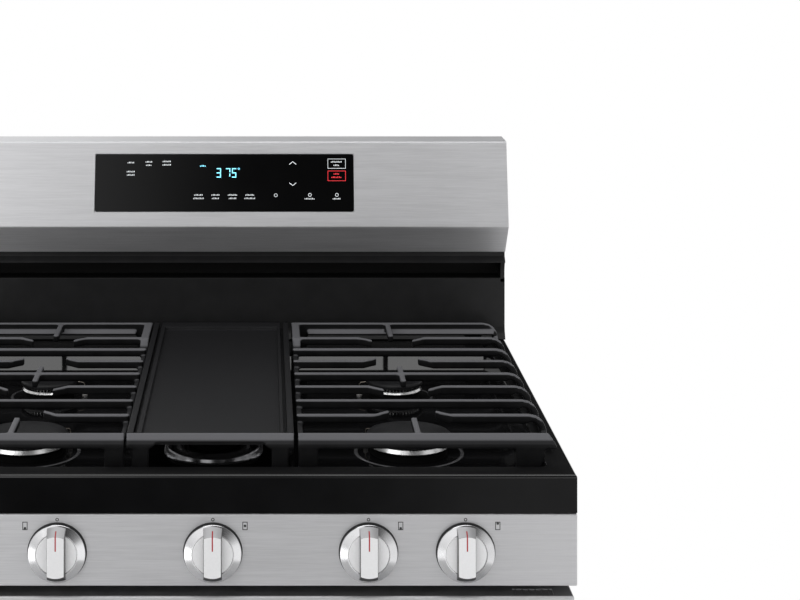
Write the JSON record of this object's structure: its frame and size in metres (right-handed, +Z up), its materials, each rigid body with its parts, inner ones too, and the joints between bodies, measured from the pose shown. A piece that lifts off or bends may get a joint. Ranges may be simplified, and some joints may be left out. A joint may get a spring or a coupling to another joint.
{
  "type": "freestanding gas range",
  "caption": "Freestanding gas range: sealed cooktop with cast grates and a griddle, sloped backguard with touch display, oven with drop-down door, and a storage drawer.",
  "frame": {"origin": "on the floor, at the middle of the range's bounding box", "axes": "+Z up, +X to the right as the user faces the range, +Y towards the wall; the front faces -Y"},
  "size_m": [0.759, 0.696, 1.184],
  "materials": {
    "stainless": "fine horizontal brushing",
    "knob_metal": "satin",
    "burner_steel": "dull",
    "zinc_steel": "zinc plated",
    "dark_painted_steel": "satin",
    "chrome_wire": "polished",
    "burner_aluminium": "machined",
    "brass": "machined",
    "oven_enamel": "speckled porcelain enamel",
    "black_enamel": "glossy porcelain enamel",
    "cast_iron": "matte black enamel",
    "cap_enamel": "matte black enamel on steel",
    "griddle_coating": "satin non-stick coating",
    "black_glass": "glossy",
    "clear_glass": "glossy",
    "lamp_glass": "frosted",
    "black_plastic": "matte",
    "gasket_rope": "woven glass fibre"
  },
  "bodies": {
    "cabinet": {"backguard_cover": "stainless", "control_panel": "stainless", "bake_burner": "burner_steel", "broil_burner": "burner_steel", "rear_panel": "zinc_steel", "drawer_rail_left": "zinc_steel", "drawer_rail_right": "zinc_steel", "hinge_arm_left": "zinc_steel", "hinge_arm_right": "zinc_steel", "gas_manifold": "zinc_steel", "gas_regulator": "zinc_steel", "base_frame": "zinc_steel", "side_panel_left": "dark_painted_steel", "side_panel_right": "dark_painted_steel", "burner_head_left_front": "burner_aluminium", "burner_head_left_rear": "burner_aluminium", "burner_head_center": "burner_aluminium", "burner_head_right_front": "burner_aluminium", "burner_head_right_rear": "burner_aluminium", "oven_cavity": "oven_enamel", "front_frame": "oven_enamel", "cooktop_pan": "black_enamel", "backguard_panel": "black_enamel", "display_glass": "black_glass", "oven_light": "lamp_glass", "control_board": "black_plastic", "leveling_leg_front_left": "black_plastic", "leveling_leg_front_right": "black_plastic", "leveling_leg_rear_left": "black_plastic", "leveling_leg_rear_right": "black_plastic", "door_gasket": "gasket_rope"},
    "oven_door": {"door_skin": "stainless", "door_window": "black_glass", "door_liner": "oven_enamel", "door_inner_glass": "clear_glass", "door_handle": "stainless"},
    "storage_drawer": {"drawer_front": "stainless", "drawer_box": "zinc_steel"},
    "rack_lower": {"oven_rack_lower": "chrome_wire"},
    "rack_upper": {"oven_rack_upper": "chrome_wire"},
    "stem_left_front": {"valve_stem_left_front": "brass"},
    "knob_left_front": {"knob_left_front": "knob_metal"},
    "stem_left_rear": {"valve_stem_left_rear": "brass"},
    "knob_left_rear": {"knob_left_rear": "knob_metal"},
    "stem_center": {"valve_stem_center": "brass"},
    "knob_center": {"knob_center": "knob_metal"},
    "stem_right_front": {"valve_stem_right_front": "brass"},
    "knob_right_front": {"knob_right_front": "knob_metal"},
    "stem_right_rear": {"valve_stem_right_rear": "brass"},
    "knob_right_rear": {"knob_right_rear": "knob_metal"},
    "cap_left_front": {"burner_cap_left_front": "cap_enamel"},
    "cap_left_rear": {"burner_cap_left_rear": "cap_enamel"},
    "cap_center": {"burner_cap_center": "cap_enamel"},
    "cap_right_front": {"burner_cap_right_front": "cap_enamel"},
    "cap_right_rear": {"burner_cap_right_rear": "cap_enamel"},
    "grate_left": {"grate_left": "cast_iron"},
    "grate_center": {"grate_center": "cast_iron"},
    "grate_right": {"grate_right": "cast_iron"},
    "griddle": {"griddle": "griddle_coating"}
  },
  "joints": [
    {"name": "door_hinge", "type": "hinge", "parent": "cabinet", "child": "oven_door", "pos_m": [0, -0.276, 0.26], "axis": [1, 0, 0], "range_deg": [0, 90], "stiffness_Nm_per_rad": 10, "springref_deg": -20.05},
    {"name": "drawer_slide", "type": "slide", "parent": "cabinet", "child": "storage_drawer", "axis": [0, -1, 0], "range_m": [0, 0.4]},
    {"name": "rack_lower_slide", "type": "slide", "parent": "cabinet", "child": "rack_lower", "axis": [0, -1, 0], "range_m": [0, 0.04]},
    {"name": "rack_upper_slide", "type": "slide", "parent": "cabinet", "child": "rack_upper", "axis": [0, -1, 0], "range_m": [0, 0.04]},
    {"name": "knob_left_front_push", "type": "slide", "parent": "cabinet", "child": "stem_left_front", "axis": [0, 1, 0], "range_m": [0, 0.003], "stiffness_N_per_m": 1500, "springref_m": -0.002},
    {"name": "knob_left_front_turn", "type": "hinge", "parent": "stem_left_front", "child": "knob_left_front", "pos_m": [-0.162, -0.292, 0.8335], "axis": [0, -1, 0], "range_deg": [0, 240]},
    {"name": "knob_left_rear_push", "type": "slide", "parent": "cabinet", "child": "stem_left_rear", "axis": [0, 1, 0], "range_m": [0, 0.003], "stiffness_N_per_m": 1500, "springref_m": -0.002},
    {"name": "knob_left_rear_turn", "type": "hinge", "parent": "stem_left_rear", "child": "knob_left_rear", "pos_m": [-0.263, -0.292, 0.8335], "axis": [0, -1, 0], "range_deg": [0, 240]},
    {"name": "knob_center_push", "type": "slide", "parent": "cabinet", "child": "stem_center", "axis": [0, 1, 0], "range_m": [0, 0.003], "stiffness_N_per_m": 1500, "springref_m": -0.002},
    {"name": "knob_center_turn", "type": "hinge", "parent": "stem_center", "child": "knob_center", "pos_m": [0, -0.292, 0.8335], "axis": [0, -1, 0], "range_deg": [0, 240]},
    {"name": "knob_right_front_push", "type": "slide", "parent": "cabinet", "child": "stem_right_front", "axis": [0, 1, 0], "range_m": [0, 0.003], "stiffness_N_per_m": 1500, "springref_m": -0.002},
    {"name": "knob_right_front_turn", "type": "hinge", "parent": "stem_right_front", "child": "knob_right_front", "pos_m": [0.162, -0.292, 0.8335], "axis": [0, -1, 0], "range_deg": [0, 240]},
    {"name": "knob_right_rear_push", "type": "slide", "parent": "cabinet", "child": "stem_right_rear", "axis": [0, 1, 0], "range_m": [0, 0.003], "stiffness_N_per_m": 1500, "springref_m": -0.002},
    {"name": "knob_right_rear_turn", "type": "hinge", "parent": "stem_right_rear", "child": "knob_right_rear", "pos_m": [0.263, -0.292, 0.8335], "axis": [0, -1, 0], "range_deg": [0, 240]},
    {"name": "cap_left_front_lift", "type": "slide", "parent": "cabinet", "child": "cap_left_front", "axis": [0, 0, 1], "range_m": [0, 0.02]},
    {"name": "cap_left_rear_lift", "type": "slide", "parent": "cabinet", "child": "cap_left_rear", "axis": [0, 0, 1], "range_m": [0, 0.02]},
    {"name": "cap_center_lift", "type": "slide", "parent": "cabinet", "child": "cap_center", "axis": [0, 0, 1], "range_m": [0, 0.01]},
    {"name": "cap_right_front_lift", "type": "slide", "parent": "cabinet", "child": "cap_right_front", "axis": [0, 0, 1], "range_m": [0, 0.02]},
    {"name": "cap_right_rear_lift", "type": "slide", "parent": "cabinet", "child": "cap_right_rear", "axis": [0, 0, 1], "range_m": [0, 0.02]},
    {"name": "grate_left_lift", "type": "slide", "parent": "cabinet", "child": "grate_left", "axis": [0, 0, 1], "range_m": [0, 0.08]},
    {"name": "grate_center_lift", "type": "slide", "parent": "cabinet", "child": "grate_center", "axis": [0, 0, 1], "range_m": [0, 0.05]},
    {"name": "grate_right_lift", "type": "slide", "parent": "cabinet", "child": "grate_right", "axis": [0, 0, 1], "range_m": [0, 0.08]},
    {"name": "griddle_lift", "type": "slide", "parent": "grate_center", "child": "griddle", "axis": [0, 0, 1], "range_m": [0, 0.03]}
  ]
}
